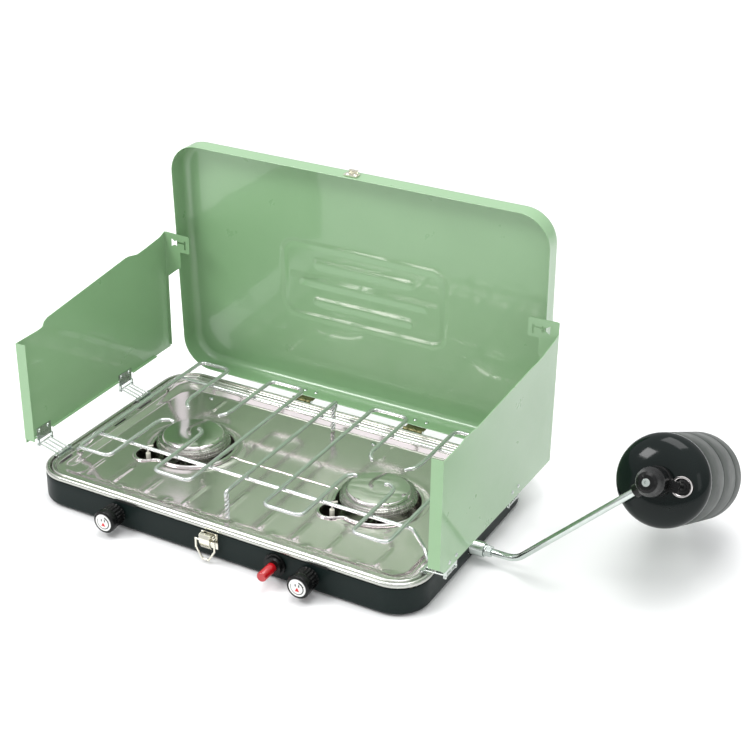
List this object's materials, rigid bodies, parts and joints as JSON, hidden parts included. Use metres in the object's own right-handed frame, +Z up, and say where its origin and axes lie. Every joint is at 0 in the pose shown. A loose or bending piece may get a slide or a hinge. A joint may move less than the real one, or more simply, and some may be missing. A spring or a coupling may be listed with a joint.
{
  "type": "two-burner camp stove",
  "caption": "Folding gas camp stove with twin burners, wire pot grate, hinged lid, side windscreens, draw latch and a swivelling regulator tube carrying a screw-on fuel cylinder.",
  "frame": {"origin": "centre of the base tray footprint, on the plane the rubber feet stand on", "axes": "+Z up, -Y the front with the knobs, +X the side with the gas inlet"},
  "size_m": [0.7773, 0.393, 0.3604],
  "materials": {
    "enamel_black": "satin dark green-black enamel",
    "enamel_green": "semi-gloss light green paint",
    "stainless": "bright rolled stainless",
    "polished": "mirror polished",
    "cast_alloy": "satin cast",
    "chrome_wire": "bright plated wire",
    "zinc": "zinc plated",
    "nickel": "warm nickel plate",
    "passivated": "yellow passivated steel",
    "brass": "machined",
    "black_plastic": "moulded, fine grain",
    "red_plastic": "moulded, glossy",
    "dial_white": "printed face",
    "rubber": "soft black",
    "ceramic": "glazed insulator and pin",
    "lead_cover": "silicone sleeve",
    "tank_paint": "glossy dark green"
  },
  "bodies": {
    "stove_base": {"base_tray": "enamel_black", "rubber_feet": "rubber", "drip_pan": "stainless", "pan_screws": "zinc", "left_burner_bowl": "polished", "right_burner_bowl": "polished", "left_burner_head": "cast_alloy", "right_burner_head": "cast_alloy", "left_burner_cap": "polished", "right_burner_cap": "polished", "left_mixer_tube": "cast_alloy", "right_mixer_tube": "cast_alloy", "left_valve_body": "brass", "right_valve_body": "brass", "gas_manifold": "brass", "inlet_fitting": "zinc", "igniter_housing": "black_plastic", "igniter_spring": "zinc", "igniter_electrodes": "ceramic", "igniter_leads": "lead_cover", "latch_plate": "nickel", "hinge_base_leaves": "passivated", "hinge_pins": "zinc", "grate": "chrome_wire", "link_clips": "zinc"},
    "lid": {"lid": "enamel_green", "lid_catch": "nickel", "hinge_lid_leaves": "passivated", "hinge_rivets": "zinc"},
    "left_links": {"left_wire_links": "chrome_wire"},
    "left_screen": {"left_windscreen": "enamel_green", "left_windscreen_brackets": "zinc", "left_windscreen_rivets": "zinc"},
    "left_control": {"left_knob": "black_plastic", "left_valve_stem": "brass", "left_dial": "dial_white"},
    "right_links": {"right_wire_links": "chrome_wire"},
    "right_screen": {"right_windscreen": "enamel_green", "right_windscreen_brackets": "zinc", "right_windscreen_rivets": "zinc"},
    "right_control": {"right_knob": "black_plastic", "right_valve_stem": "brass", "right_dial": "dial_white"},
    "lever": {"latch_lever": "nickel"},
    "bail": {"latch_bail": "nickel"},
    "ignition_button": {"igniter_button": "red_plastic"},
    "supply": {"tube_nut": "zinc", "regulator_tube": "zinc", "regulator_body": "black_plastic", "regulator_screw": "zinc"},
    "gas_cylinder": {"cylinder_tank": "tank_paint", "cylinder_valve": "nickel", "relief_valve": "zinc", "cylinder_foot": "black_plastic"}
  },
  "joints": [
    {"name": "lid_hinge", "type": "hinge", "parent": "stove_base", "child": "lid", "pos_m": [0, 0.1581, 0.0391], "axis": [1, 0, 0], "range_deg": [0, 87.6]},
    {"name": "left_link_swing", "type": "hinge", "parent": "stove_base", "child": "left_links", "pos_m": [-0.2455, 0, 0.0445], "axis": [0, -1, 0], "range_deg": [0, 10]},
    {"name": "left_windscreen_fold", "type": "hinge", "parent": "left_links", "child": "left_screen", "pos_m": [-0.273, 0, 0.0515], "axis": [0, -1, 0], "range_deg": [-72, 0]},
    {"name": "left_knob_turn", "type": "hinge", "parent": "stove_base", "child": "left_control", "pos_m": [-0.129, -0.17, 0.0215], "axis": [0, -1, 0], "range_deg": [0, 270]},
    {"name": "right_link_swing", "type": "hinge", "parent": "stove_base", "child": "right_links", "pos_m": [0.2455, 0, 0.0445], "axis": [0, 1, 0], "range_deg": [0, 6]},
    {"name": "right_windscreen_fold", "type": "hinge", "parent": "right_links", "child": "right_screen", "pos_m": [0.273, 0, 0.0465], "axis": [0, 1, 0], "range_deg": [-68, 0]},
    {"name": "right_knob_turn", "type": "hinge", "parent": "stove_base", "child": "right_control", "pos_m": [0.129, -0.17, 0.0215], "axis": [0, -1, 0], "range_deg": [0, 270]},
    {"name": "latch_lever_pivot", "type": "hinge", "parent": "stove_base", "child": "lever", "pos_m": [-0.001, -0.159, 0.031], "axis": [-1, 0, 0], "range_deg": [0, 70]},
    {"name": "latch_bail_pivot", "type": "hinge", "parent": "lever", "child": "bail", "pos_m": [-0.001, -0.1632, 0.0289], "axis": [-1, 0, 0], "range_deg": [0, 100]},
    {"name": "igniter_press", "type": "slide", "parent": "stove_base", "child": "ignition_button", "axis": [0, 1, 0], "range_m": [0, 0.004], "stiffness_N_per_m": 800, "springref_m": -0.002, "deforming": ["igniter_spring"]},
    {"name": "supply_swivel", "type": "hinge", "parent": "stove_base", "child": "supply", "pos_m": [0.262, -0.008, 0.0171], "axis": [1, 0, 0], "range_deg": [-5, 60]},
    {"name": "cylinder_release", "type": "slide", "parent": "supply", "child": "gas_cylinder", "axis": [-0.0157, 0.8987, -0.4384], "range_m": [0, 0.06]}
  ]
}
